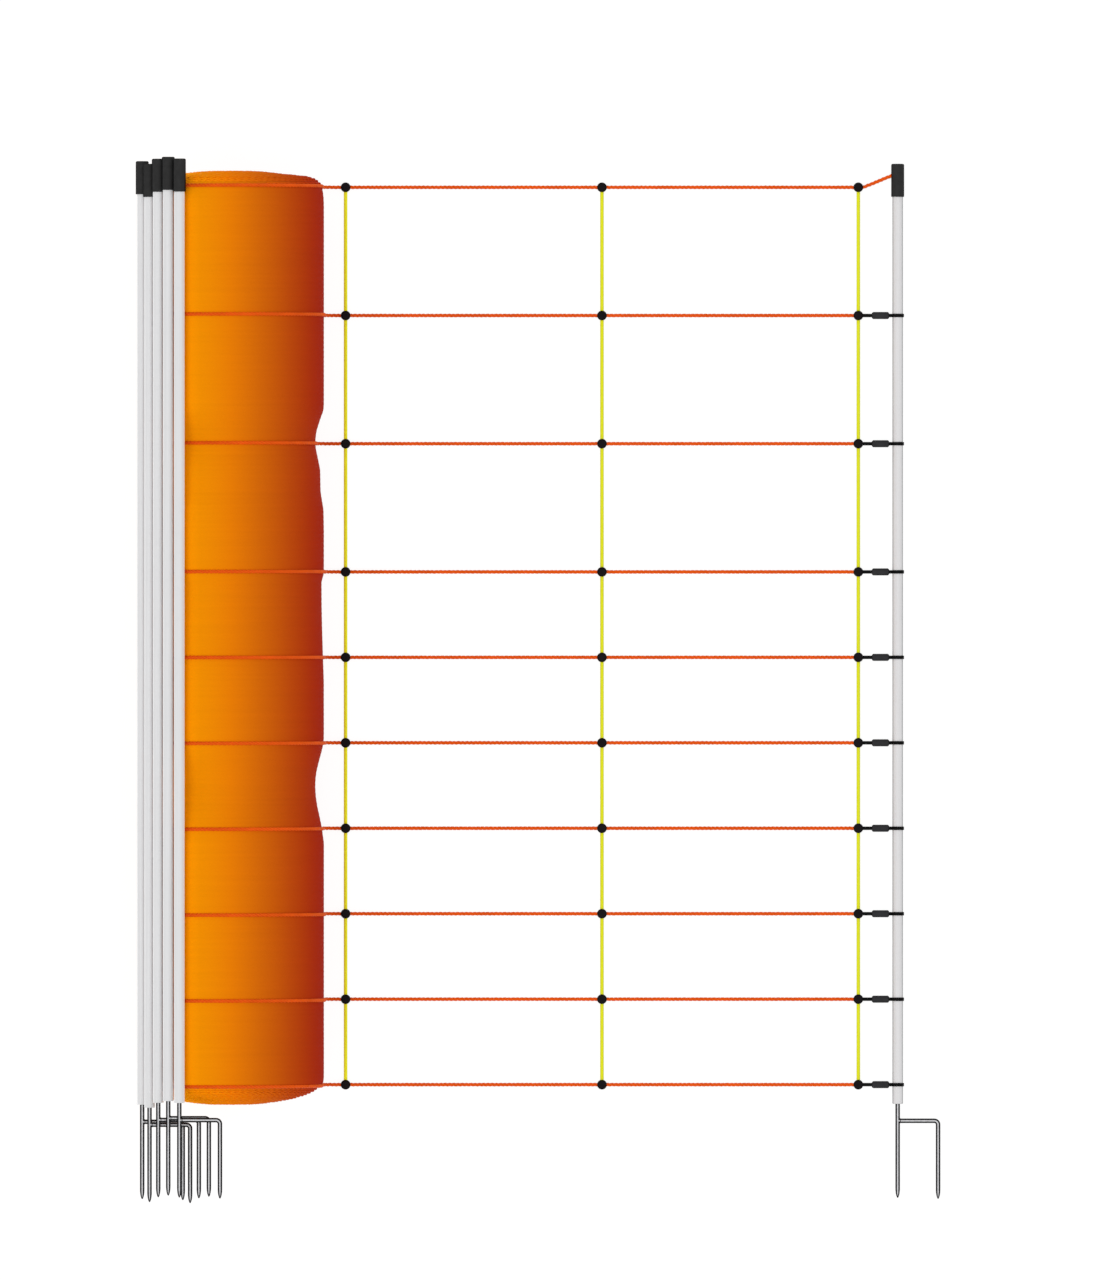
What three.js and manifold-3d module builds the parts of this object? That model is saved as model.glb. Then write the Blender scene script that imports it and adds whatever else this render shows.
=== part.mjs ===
// Electric sheep netting, partly unrolled and lying flat: the rolled net with five posts laid on it,
// and one open bay of net that ends at the sixth post.
// Units are millimetres. X runs along the bay, Y runs up the posts and Z is up from the floor.
// The sizes below are set about the roll's axis (X = 0), the lowest strand (Y = 0) and the floor (Z = 0).

import * as THREE from 'three';
import { mergeVertices } from 'three/addons/utils/BufferGeometryUtils.js';
import Module from 'manifold-3d';

const wasm = await Module();
wasm.setup();

// Clearances
const SEAT_GAP = 0.3;
const FORK_SHANK_GAP = 0.3;

// Strands: ten live lines, wide gaps above and narrow gaps below
const STRAND_DIAMETER = 3.8;
const LOWER_GAP = 100;
const LOWER_GAP_COUNT = 6;
const UPPER_GAP = 150;
const UPPER_GAP_COUNT = 3;
const STRAND_SIDES = 8;
const STRAND_FLOOR_BEND = 12;
const STRAND_BEND_STEPS = 3;
const STRAND_START_ANGLE = 150;

// Stays and the moulded knots on them
const STAY_DIAMETER = 3.8;
const STAY_COUNT = 3;
const STAY_PITCH = 300;
const STAY_SIDES = 8;
const ROLL_TO_STAY = 24.5;
const KNOT_DIAMETER = 11.3;
const KNOT_THICKNESS = 9;
const KNOT_BEVEL = 1.6;
const KNOT_SIDES = 8;
const KNOT_HOLE_SIDES = 6;

// Rolled net
const ROLL_RADIUS = 108.5;
const ROLL_BORE_RADIUS = 20;
const ROLL_ABOVE_TOP_STRAND = 18.5;
const ROLL_BELOW_LOW_STRAND = 22.5;
const ROLL_SIDES = 32;
const ROLL_TOP_SHOULDER = { across: 16, along: 31 };
const ROLL_LOW_SHOULDER = { across: 48, along: 28 };
const ROLL_DOME_RISE = 6;
const ROLL_SHOULDER_STEPS = 4;
const ROLL_TURN_PITCH = 13;
const ROLL_TURN_DEPTH = 1.8;
// Waists where the net is wound tight: place and depth, and how far each reaches up and down
const ROLL_LOW_WAIST = { y: 349, depth: 10.2, above: 56, below: 66 };
const ROLL_MIDDLE_WAIST = { y: 588, depth: 2.9, above: 14, below: 115 };
const ROLL_TOP_WAIST = { y: 749, depth: 10.1, above: 46, below: 76 };
const ROLL_WAISTS = [ROLL_LOW_WAIST, ROLL_MIDDLE_WAIST, ROLL_TOP_WAIST];
const ROLL_WAIST_STEPS = 3;

// Posts: plastic shaft, cap and steel fork
const SHAFT_DIAMETER = 12.4;
const SHAFT_SIDES = 12;
const SHAFT_BELOW_LOW_STRAND = 22.2;
const SHAFT_IN_CAP = 19;
const CAP_DIAMETER = 15.2;
const CAP_LENGTH = 38.6;
const CAP_SIDES = 16;
const CAP_ROUNDING = 1.4;
const CAP_ABOVE_TOP_STRAND = 27.6;
const CAP_EYE_BELOW_TOP = 13;
const CAP_EYE_DEPTH = 4;
const SPIKE_DIAMETER = 5;
const SPIKE_SIDES = 8;
const SPIKE_BELOW_SHAFT = 110;
const SPIKE_IN_SHAFT = 60;
const SPIKE_POINT = 10.5;
const SPIKE_POINT_FLAT = 0.5;
const STEP_BELOW_SHAFT = 19.9;
const TINE_OFFSET = 47.3;
const TINE_BEND = 2.9;
const TINE_BEND_STEPS = 3;
const TINE_PAST_SPIKE = 1.2;
const STAY_TO_POST = 46;

// Bundle: five posts side by side on the roll, each with its own place along the roll
const BUNDLE_LAST_ANGLE = 119.9;
const BUNDLE_CAP_GAP = 0.4;
const BUNDLE_SHIFTS = [1, -2.3, 3.5, 5.6, 3.5];

// Clips that hold nine strands to the end post
const CLIP_BAND_WALL = 1;
const CLIP_BAND_WIDTH = 4;
const CLIP_BAND_SIDES = 12;
const CLIP_BARREL_START = 15.8;
const CLIP_BARREL_LENGTH = 20.3;
const CLIP_BARREL_DIAMETER = 8.3;
const CLIP_BARREL_CHAMFER = 1.3;
const CLIP_BARREL_SIDES = 10;

// Places that follow from the sizes
const strandRadius = STRAND_DIAMETER / 2;
const shaftRadius = SHAFT_DIAMETER / 2;
const capRadius = CAP_DIAMETER / 2;
const spikeRadius = SPIKE_DIAMETER / 2;
const knotRadius = KNOT_DIAMETER / 2;
const netHeight = LOWER_GAP * LOWER_GAP_COUNT + UPPER_GAP * UPPER_GAP_COUNT;
const strandZ = KNOT_THICKNESS / 2;
const strandHoleRadius = (strandRadius + SEAT_GAP) / Math.cos(Math.PI / KNOT_HOLE_SIDES);
const stayX = index => ROLL_RADIUS + ROLL_TO_STAY + index * STAY_PITCH;
const lastStayX = stayX(STAY_COUNT - 1);
const endPostX = lastStayX + STAY_TO_POST;
const endPostZ = capRadius;
const capTopY = netHeight + CAP_ABOVE_TOP_STRAND;
const shaftTopY = capTopY - CAP_LENGTH + SHAFT_IN_CAP;
const shaftLowY = -SHAFT_BELOW_LOW_STRAND;

// Heights of the strands, the highest first
function strandHeights() {
  const heights = [];
  for (let gap = 0; gap <= LOWER_GAP_COUNT; gap += 1) {
    heights.unshift(gap * LOWER_GAP);
  }
  for (let gap = 1; gap <= UPPER_GAP_COUNT; gap += 1) {
    heights.unshift(LOWER_GAP_COUNT * LOWER_GAP + gap * UPPER_GAP);
  }
  return heights;
}

// Materials
function finish(color, roughness, metalness) {
  return () => new THREE.MeshStandardMaterial({ color, roughness, metalness });
}
const orangeNet = finish(0xdc6a1c, 0.8, 0);
const orangeCord = finish(0xe25422, 0.7, 0);
const yellowStay = finish(0xdedc2e, 0.6, 0);
const blackPlastic = finish(0x2f2f31, 0.5, 0);
const paleShaft = finish(0xdadada, 0.55, 0);
const galvanised = finish(0xa8a8a8, 0.4, 0.9);

// A path given by its stations, so that an extrusion has a ring exactly at each of them
class StationPath extends THREE.Curve {
  constructor(stations) {
    super();
    this.stations = stations;
  }

  get steps() {
    return this.stations.length - 1;
  }

  getPointAt(u, target = new THREE.Vector3()) {
    return target.copy(this.stations[Math.round(u * this.steps)]);
  }

  getTangentAt(u, target = new THREE.Vector3()) {
    const here = Math.round(u * this.steps);
    const before = this.stations[Math.max(here - 1, 0)];
    const after = this.stations[Math.min(here + 1, this.steps)];
    const middle = this.stations[here];
    target.set(0, 0, 0);
    if (here > 0) target.add(middle.clone().sub(before).normalize());
    if (here < this.steps) target.add(after.clone().sub(middle).normalize());
    return target.normalize();
  }
}

function regularShape(radius, sides) {
  const corners = [];
  for (let side = 0; side < sides; side += 1) {
    const angle = (side + 0.5) * 2 * Math.PI / sides;
    corners.push(new THREE.Vector2(radius * Math.cos(angle), radius * Math.sin(angle)));
  }
  return new THREE.Shape(corners);
}

// A rod of even section through the stations
function rodAlong(stations, radius, sides) {
  const path = new StationPath(stations);
  return new THREE.ExtrudeGeometry(regularShape(radius, sides), {
    steps: path.steps,
    extrudePath: path,
    bevelEnabled: false,
  });
}

// A solid turned about the Y axis from [radius, height] pairs
function turned(profile, sides) {
  const points = profile.map(([radius, height]) => new THREE.Vector2(radius, height));
  return new THREE.LatheGeometry(points, sides);
}

function signedVolume(geometry) {
  const place = geometry.getAttribute('position');
  const index = geometry.getIndex();
  const corner = [new THREE.Vector3(), new THREE.Vector3(), new THREE.Vector3()];
  let sum = 0;
  for (let first = 0; first < index.count; first += 3) {
    corner.forEach((point, k) => point.fromBufferAttribute(place, index.getX(first + k)));
    sum += corner[0].dot(corner[1].cross(corner[2])) / 6;
  }
  return sum;
}

// Shared corners merged and faces turned outwards
function closed(geometry) {
  const bare = geometry.clone();
  bare.deleteAttribute('normal');
  bare.deleteAttribute('uv');
  const merged = mergeVertices(bare, 1e-4);
  const index = merged.getIndex();
  const kept = [];
  for (let first = 0; first < index.count; first += 3) {
    const [a, b, c] = [index.getX(first), index.getX(first + 1), index.getX(first + 2)];
    if (a !== b && b !== c && c !== a) kept.push(a, b, c);
  }
  merged.setIndex(kept);
  if (signedVolume(merged) < 0) {
    kept.reverse();
    merged.setIndex(kept);
  }
  return merged;
}

function toSolid(geometry) {
  const merged = closed(geometry);
  return new wasm.Manifold(new wasm.Mesh({
    numProp: 3,
    vertProperties: new Float32Array(merged.getAttribute('position').array),
    triVerts: new Uint32Array(merged.getIndex().array),
  }));
}

function toGeometry(solid) {
  const mesh = solid.getMesh();
  const geometry = new THREE.BufferGeometry();
  geometry.setAttribute('position', new THREE.BufferAttribute(mesh.vertProperties, 3));
  geometry.setIndex(new THREE.BufferAttribute(mesh.triVerts, 1));
  return geometry;
}

const netting = new THREE.Group();
const laidOut = new THREE.Group();
netting.add(laidOut);

function addMesh(parent, name, geometry, material) {
  const mesh = new THREE.Mesh(geometry, material());
  mesh.name = name;
  parent.add(mesh);
  return mesh;
}

// Roll: the side's radius at a height, with its waists
function waistedRadius(y) {
  let radius = ROLL_RADIUS;
  for (const waist of ROLL_WAISTS) {
    const reach = y > waist.y ? waist.above : waist.below;
    const share = Math.abs(y - waist.y) / reach;
    if (share < 1) radius -= waist.depth * Math.cos(share * Math.PI / 2) ** 2;
  }
  return radius;
}

// Rings of turns on a domed end, from the shoulder in to the bore
function endFace(shoulderInner, shoulderY, outward) {
  const points = [];
  const span = shoulderInner - ROLL_BORE_RADIUS;
  const turns = Math.round(span / ROLL_TURN_PITCH);
  for (let half = 1; half <= 2 * turns; half += 1) {
    const share = half / (2 * turns);
    const sunk = half % 2 === 1 ? ROLL_TURN_DEPTH : 0;
    points.push([shoulderInner - span * share, shoulderY + outward * (ROLL_DOME_RISE * share - sunk)]);
  }
  return points;
}

// A quarter ellipse from the side to the end face
function shoulder(size, outerRadius, endY, outward) {
  const points = [];
  for (let step = 0; step <= ROLL_SHOULDER_STEPS; step += 1) {
    const angle = step / ROLL_SHOULDER_STEPS * Math.PI / 2;
    const inset = size.across * (1 - Math.cos(angle));
    const short = size.along * (1 - Math.sin(angle));
    points.push([outerRadius - inset, endY - outward * short]);
  }
  return points;
}

const rollTopY = netHeight + ROLL_ABOVE_TOP_STRAND;
const rollLowY = -ROLL_BELOW_LOW_STRAND;

function rollSide() {
  const heights = [];
  for (const waist of ROLL_WAISTS) {
    for (let step = -ROLL_WAIST_STEPS; step <= ROLL_WAIST_STEPS; step += 1) {
      const reach = step > 0 ? waist.above : waist.below;
      heights.push(waist.y + step / ROLL_WAIST_STEPS * reach);
    }
  }
  return heights.map(y => [waistedRadius(y), y]);
}

// The roll's outline from the bore's lower edge out, up the side and in again at the top
function rollProfile() {
  const topEdgeY = rollTopY - ROLL_DOME_RISE;
  const lowEdgeY = rollLowY + ROLL_DOME_RISE;
  const low = shoulder(ROLL_LOW_SHOULDER, ROLL_RADIUS, lowEdgeY, -1);
  const top = shoulder(ROLL_TOP_SHOULDER, ROLL_RADIUS, topEdgeY, 1);
  const lowFace = endFace(ROLL_RADIUS - ROLL_LOW_SHOULDER.across, lowEdgeY, -1);
  const topFace = endFace(ROLL_RADIUS - ROLL_TOP_SHOULDER.across, topEdgeY, 1);
  return [...lowFace.reverse(), ...low.reverse(), ...rollSide(), ...top, ...topFace];
}

const rollOutline = rollProfile();

// The widest radius of the roll's outline between two heights
function widestRadius(lowY, highY) {
  const outer = rollOutline.filter(([radius]) => radius > ROLL_RADIUS / 2);
  let widest = 0;
  for (let k = 1; k < outer.length; k += 1) {
    const [[r0, y0], [r1, y1]] = [outer[k - 1], outer[k]];
    for (const y of [lowY, highY, y0, y1]) {
      const inside = y >= Math.min(y0, y1) && y <= Math.max(y0, y1) && y >= lowY && y <= highY;
      if (inside && y1 !== y0) widest = Math.max(widest, r0 + (r1 - r0) * (y - y0) / (y1 - y0));
    }
  }
  return widest;
}

function addRoll() {
  const loop = [...rollOutline, rollOutline[0]];
  const roll = addMesh(laidOut, 'net_roll', closed(turned(loop, ROLL_SIDES)), orangeNet);
  roll.position.z = ROLL_RADIUS;
}

// The top strand's last stretch, from its knot up to the eye in the end post's cap
const capEye = new THREE.Vector3(endPostX - capRadius, capTopY - CAP_EYE_BELOW_TOP, endPostZ);
const topStrandBend = new THREE.Vector3(lastStayX + knotRadius + SEAT_GAP, netHeight, strandZ);
const eyeDirection = capEye.clone().sub(topStrandBend).normalize();

// A strand starts on the roll under the bundle, goes over it, down its side and out along the floor
function strandStations(y, isTop) {
  const reach = strandRadius + SEAT_GAP;
  const radius = widestRadius(y - reach, y + reach) + SEAT_GAP + strandRadius;
  const stepAngle = 360 / ROLL_SIDES;
  const stations = [];
  for (let facet = Math.round(STRAND_START_ANGLE / stepAngle); facet >= 0; facet -= 1) {
    const turn = THREE.MathUtils.degToRad(facet * stepAngle);
    stations.push(new THREE.Vector3(radius * Math.cos(turn), y, ROLL_RADIUS + radius * Math.sin(turn)));
  }
  for (let step = 0; step <= STRAND_BEND_STEPS; step += 1) {
    const turn = step / STRAND_BEND_STEPS * Math.PI / 2;
    const x = radius + STRAND_FLOOR_BEND * (1 - Math.cos(turn));
    const z = strandZ + STRAND_FLOOR_BEND * (1 - Math.sin(turn));
    stations.push(new THREE.Vector3(x, y, z));
  }
  if (isTop) {
    stations.push(topStrandBend.clone());
    stations.push(capEye.clone().addScaledVector(eyeDirection, CAP_EYE_DEPTH - SEAT_GAP));
  } else {
    stations.push(new THREE.Vector3(lastStayX - SEAT_GAP / 2, y, strandZ));
  }
  return stations;
}

function addStrands() {
  strandHeights().forEach((y, row) => {
    const rod = rodAlong(strandStations(y, row === 0), strandRadius, STRAND_SIDES);
    addMesh(laidOut, `strand_${String(row + 1).padStart(2, '0')}`, closed(rod), orangeCord);
  });
}

function knotAt(x, y) {
  const half = KNOT_THICKNESS / 2;
  const disc = turned([
    [0, -half],
    [knotRadius - KNOT_BEVEL, -half],
    [knotRadius, KNOT_BEVEL - half],
    [knotRadius, half - KNOT_BEVEL],
    [knotRadius - KNOT_BEVEL, half],
    [0, half],
  ], KNOT_SIDES);
  disc.rotateX(Math.PI / 2);
  disc.translate(x, y, strandZ);
  return toSolid(disc);
}

function rodBetween(from, to, radius, sides) {
  return rodAlong([from, to], radius, sides);
}

// A stay with its moulded knots, with a hole in each knot for its strand
function addStays() {
  for (let index = 0; index < STAY_COUNT; index += 1) {
    const x = stayX(index);
    const low = new THREE.Vector3(x, 0, strandZ);
    const high = new THREE.Vector3(x, netHeight, strandZ);
    let stay = toSolid(rodBetween(low, high, STAY_DIAMETER / 2, STAY_SIDES));
    for (const y of strandHeights()) {
      stay = stay.add(knotAt(x, y));
    }
    for (const y of strandHeights()) {
      const left = new THREE.Vector3(x - KNOT_DIAMETER, y, strandZ);
      const right = new THREE.Vector3(x + KNOT_DIAMETER, y, strandZ);
      stay = stay.subtract(toSolid(rodBetween(left, right, strandHoleRadius, KNOT_HOLE_SIDES)));
    }
    addMesh(laidOut, `stay_${index + 1}`, toGeometry(stay), yellowStay);
  }
}

function shaftGeometry() {
  const boreRadius = spikeRadius + FORK_SHANK_GAP;
  const boreEndY = shaftLowY + SPIKE_IN_SHAFT + FORK_SHANK_GAP;
  return closed(turned([
    [0, boreEndY],
    [boreRadius, boreEndY],
    [boreRadius, shaftLowY],
    [shaftRadius, shaftLowY],
    [shaftRadius, shaftTopY],
    [0, shaftTopY],
  ], SHAFT_SIDES));
}

// The cap sits over the shaft and has an eye on its left side for the top strand
function capGeometry() {
  const mouthY = capTopY - CAP_LENGTH;
  const socketRadius = shaftRadius + SEAT_GAP;
  const socketEndY = shaftTopY + SEAT_GAP;
  const body = toSolid(turned([
    [0, capTopY],
    [capRadius - CAP_ROUNDING, capTopY],
    [capRadius, capTopY - CAP_ROUNDING],
    [capRadius, mouthY],
    [socketRadius, mouthY],
    [socketRadius, socketEndY],
    [0, socketEndY],
  ], CAP_SIDES));
  const eye = new THREE.Vector3(-capRadius, capTopY - CAP_EYE_BELOW_TOP, 0);
  const outside = eye.clone().addScaledVector(eyeDirection, -CAP_EYE_DEPTH);
  const inside = eye.clone().addScaledVector(eyeDirection, CAP_EYE_DEPTH);
  const drill = toSolid(rodBetween(outside, inside, strandHoleRadius, KNOT_HOLE_SIDES));
  return toGeometry(body.subtract(drill));
}

function spikeGeometry() {
  const tipY = shaftLowY - SPIKE_BELOW_SHAFT;
  return closed(turned([
    [0, tipY],
    [SPIKE_POINT_FLAT, tipY],
    [spikeRadius, tipY + SPIKE_POINT],
    [spikeRadius, shaftLowY + SPIKE_IN_SHAFT],
    [0, shaftLowY + SPIKE_IN_SHAFT],
  ], SPIKE_SIDES));
}

// The side tine: a step bar welded to the spike, bent down into a second point
function sideTineGeometry() {
  const stepY = shaftLowY - STEP_BELOW_SHAFT;
  const tipY = shaftLowY - SPIKE_BELOW_SHAFT - TINE_PAST_SPIKE;
  const stations = [new THREE.Vector3(spikeRadius + SEAT_GAP, stepY, 0)];
  for (let step = 0; step <= TINE_BEND_STEPS; step += 1) {
    const turn = step / TINE_BEND_STEPS * Math.PI / 2;
    const x = TINE_OFFSET - TINE_BEND * (1 - Math.sin(turn));
    const y = stepY - TINE_BEND * (1 - Math.cos(turn));
    stations.push(new THREE.Vector3(x, y, 0));
  }
  stations.push(new THREE.Vector3(TINE_OFFSET, tipY + SPIKE_POINT, 0));
  stations.push(new THREE.Vector3(TINE_OFFSET, tipY, 0));
  const tine = closed(rodAlong(stations, spikeRadius, SPIKE_SIDES));
  const place = tine.getAttribute('position');
  for (let k = 0; k < place.count; k += 1) {
    if (place.getY(k) < tipY + SPIKE_POINT / 2) {
      const slim = SPIKE_POINT_FLAT / spikeRadius;
      place.setX(k, TINE_OFFSET + (place.getX(k) - TINE_OFFSET) * slim);
      place.setZ(k, place.getZ(k) * slim);
    }
  }
  return tine;
}

function addPost(prefix, x, z, shift) {
  const post = new THREE.Group();
  post.position.set(x, shift, z);
  addMesh(post, `${prefix}_shaft`, shaftGeometry(), paleShaft);
  addMesh(post, `${prefix}_cap`, capGeometry(), blackPlastic);
  addMesh(post, `${prefix}_spike`, spikeGeometry(), galvanised);
  addMesh(post, `${prefix}_side_tine`, sideTineGeometry(), galvanised);
  laidOut.add(post);
}

// Posts side by side on the strands that pass over the roll's left flank
function addBundle() {
  const seat = ROLL_RADIUS + SEAT_GAP + STRAND_DIAMETER + SEAT_GAP + shaftRadius;
  const stepAngle = 2 * Math.asin((CAP_DIAMETER + BUNDLE_CAP_GAP) / 2 / seat);
  const lastAngle = THREE.MathUtils.degToRad(BUNDLE_LAST_ANGLE);
  BUNDLE_SHIFTS.forEach((shift, index) => {
    const angle = lastAngle + (BUNDLE_SHIFTS.length - 1 - index) * stepAngle;
    const x = seat * Math.cos(angle);
    const z = ROLL_RADIUS + seat * Math.sin(angle);
    addPost(`bundle_post_${index + 1}`, x, z, shift);
  });
}

// A clip: a pin in the last knot, a barrel, and a band round the end post
function clipGeometry(y) {
  const bandInner = shaftRadius + SEAT_GAP;
  const bandOuter = bandInner + CLIP_BAND_WALL;
  const halfWidth = CLIP_BAND_WIDTH / 2;
  const band = turned([
    [bandInner, -halfWidth],
    [bandOuter, -halfWidth],
    [bandOuter, halfWidth],
    [bandInner, halfWidth],
    [bandInner, -halfWidth],
  ], CLIP_BAND_SIDES);
  band.translate(endPostX, y, endPostZ);
  const barrelRadius = CLIP_BARREL_DIAMETER / 2;
  const barrel = turned([
    [0, 0],
    [barrelRadius - CLIP_BARREL_CHAMFER, 0],
    [barrelRadius, CLIP_BARREL_CHAMFER],
    [barrelRadius, CLIP_BARREL_LENGTH - CLIP_BARREL_CHAMFER],
    [barrelRadius - CLIP_BARREL_CHAMFER, CLIP_BARREL_LENGTH],
    [0, CLIP_BARREL_LENGTH],
  ], CLIP_BARREL_SIDES);
  barrel.rotateZ(-Math.PI / 2);
  barrel.translate(lastStayX + CLIP_BARREL_START, y, strandZ);
  const pinStart = new THREE.Vector3(lastStayX + SEAT_GAP / 2, y, strandZ);
  const armEnd = new THREE.Vector3(endPostX - bandInner, y, strandZ);
  const arm = rodBetween(pinStart, armEnd, strandRadius, STRAND_SIDES);
  return toGeometry(toSolid(arm).add(toSolid(barrel)).add(toSolid(band)));
}

function addClips() {
  strandHeights().forEach((y, row) => {
    if (row > 0) {
      addMesh(laidOut, `post_clip_${String(row + 1).padStart(2, '0')}`, clipGeometry(y), blackPlastic);
    }
  });
}

addRoll();
addStrands();
addStays();
addPost('end_post', endPostX, endPostZ, 0);
addBundle();
addClips();

// The origin is on the floor under the middle of the whole object
netting.updateMatrixWorld(true);
const extent = new THREE.Box3().setFromObject(laidOut, true);
const middle = extent.getCenter(new THREE.Vector3());
laidOut.position.set(-middle.x, -middle.y, -extent.min.z);

export default netting;
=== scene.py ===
"""Looks of the electric sheep netting, dressed over its fixed frame of solids.

The netting lies on the floor: a roll with five posts on its left flank, one open bay of ten
strands and three stays, and the end post. Sizes are in millimetres, and become metres when a
mesh is made. X runs along the bay, Y up the posts and Z up from the floor.
"""

import logging
import math
from collections.abc import Callable, Sequence
from dataclasses import dataclass, field
from enum import Enum

import bpy
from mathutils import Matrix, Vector


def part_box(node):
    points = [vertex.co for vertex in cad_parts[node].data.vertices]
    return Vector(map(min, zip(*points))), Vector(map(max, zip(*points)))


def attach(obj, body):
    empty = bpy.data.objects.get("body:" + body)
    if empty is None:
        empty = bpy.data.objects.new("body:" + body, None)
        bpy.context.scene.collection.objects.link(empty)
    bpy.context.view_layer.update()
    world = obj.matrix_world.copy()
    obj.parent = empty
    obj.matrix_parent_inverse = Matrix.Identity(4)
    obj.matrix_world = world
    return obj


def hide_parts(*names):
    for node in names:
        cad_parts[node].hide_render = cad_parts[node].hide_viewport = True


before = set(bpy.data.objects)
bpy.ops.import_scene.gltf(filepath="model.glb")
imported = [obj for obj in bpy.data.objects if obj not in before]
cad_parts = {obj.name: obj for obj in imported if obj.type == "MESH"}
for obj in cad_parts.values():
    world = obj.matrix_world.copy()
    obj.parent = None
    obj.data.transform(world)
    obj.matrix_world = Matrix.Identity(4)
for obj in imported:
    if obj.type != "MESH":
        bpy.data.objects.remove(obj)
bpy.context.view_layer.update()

LOG = logging.getLogger("netting")
MM = 0.001
BODY = "root"
STRAND_COUNT = 10
STAY_COUNT = 3
BUNDLE_COUNT = 5

Socket, Node, NodeTree = bpy.types.NodeSocket, bpy.types.Node, bpy.types.NodeTree
Material, Mesh, Piece = bpy.types.Material, bpy.types.Mesh, bpy.types.Object
Pair = tuple[float, float]
Point = tuple[float, float, float]
Outline = Sequence[Pair]
Colour = tuple[float, float, float, float]
Place = Callable[[float, float, float], Point]
Sockets = dict[str | int, object]

EVEN: Point = (1.0, 1.0, 1.0)
WHITE: Colour = (1.0, 1.0, 1.0, 1.0)
NOISE: Pair = (0.3, 0.7)  # nearly all of a noise pattern lies in this range
# A steel point from its tip: share of the point's length, share of the rod's radius
POINT_OUTLINE = ((0.0, 0.14), (0.05, 0.3), (0.2, 0.55), (0.45, 0.8), (0.75, 0.95), (1.0, 1.0))
# The weld bead under a step bar: radius, distance from the spike's flank
BEAD_OUTLINE = (
    (0.0, -0.2), (2.9, -0.2), (3.15, 0.3), (3.05, 0.9), (2.75, 1.5), (2.4, 2.0), (0.0, 2.0),
)
# One end of a clip's sleeve: radius, distance from the end
SLEEVE_END = ((0.0, 0.0), (2.45, 0.0), (2.85, 0.1), (3.9, 1.2), (4.15, 1.7))
# Slow drifts of the winding: size, waves in a turn, millimetres of height in a radian, start
DRIFTS = ((0.35, 2, 61.0, 0.0), (0.3, 3, -23.0, 1.3))
# Folds of the wound netting: waves in a turn, millimetres of height in a radian
FOLDS = ((2, 37.0), (3, -19.0))
# How the end turns stray from an even spiral: size, waves in a turn, start
STRAYS = ((0.35, 0.37, 0.0), (0.25, 1.13, 0.8))


class Slot(str, Enum):
    """The record's material slots."""

    NETTING = "netting"
    POLYWIRE = "polywire"
    YELLOW_STAY = "yellow_stay"
    BLACK_PLASTIC = "black_plastic"
    POST_SHAFT = "post_shaft"
    FORK_STEEL = "fork_steel"


class RollEnd(Enum):
    """The two ends of the roll, each with the way that it faces along Y."""

    LOW = -1
    TOP = 1


def shade(red: int, green: int, blue: int) -> Colour:
    """A display colour as the linear colour that a shader takes.

    Args:
        red: Red from 0 to 255.
        green: Green from 0 to 255.
        blue: Blue from 0 to 255.

    Returns:
        The linear colour with full alpha.
    """

    def linear(value: int) -> float:
        """One channel in linear light."""
        share = value / 255
        return share / 12.92 if share <= 0.04045 else ((share + 0.055) / 1.055) ** 2.4

    return (linear(red), linear(green), linear(blue), 1.0)


def add_node(tree: NodeTree, kind: str, sockets: Sockets | None = None, **options: object) -> Node:
    """Adds a node to a tree.

    Args:
        tree: The tree.
        kind: The node's type.
        sockets: A value or a source socket for each input, by its name or number.
        options: The node's own settings.

    Returns:
        The node.
    """
    node = tree.nodes.new(kind)
    for name, value in options.items():
        setattr(node, name, value)
    for name, value in (sockets or {}).items():
        if isinstance(value, Socket):
            tree.links.new(value, node.inputs[name])
        else:
            node.inputs[name].default_value = value
    return node


# Finishes


@dataclass(frozen=True)
class Pattern:
    """A noise pattern: its scale, its octaves, how strong the finer ones are, and its stretch."""

    scale: float
    detail: float = 2.0
    rough: float = 0.5
    stretch: Point = EVEN


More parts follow.
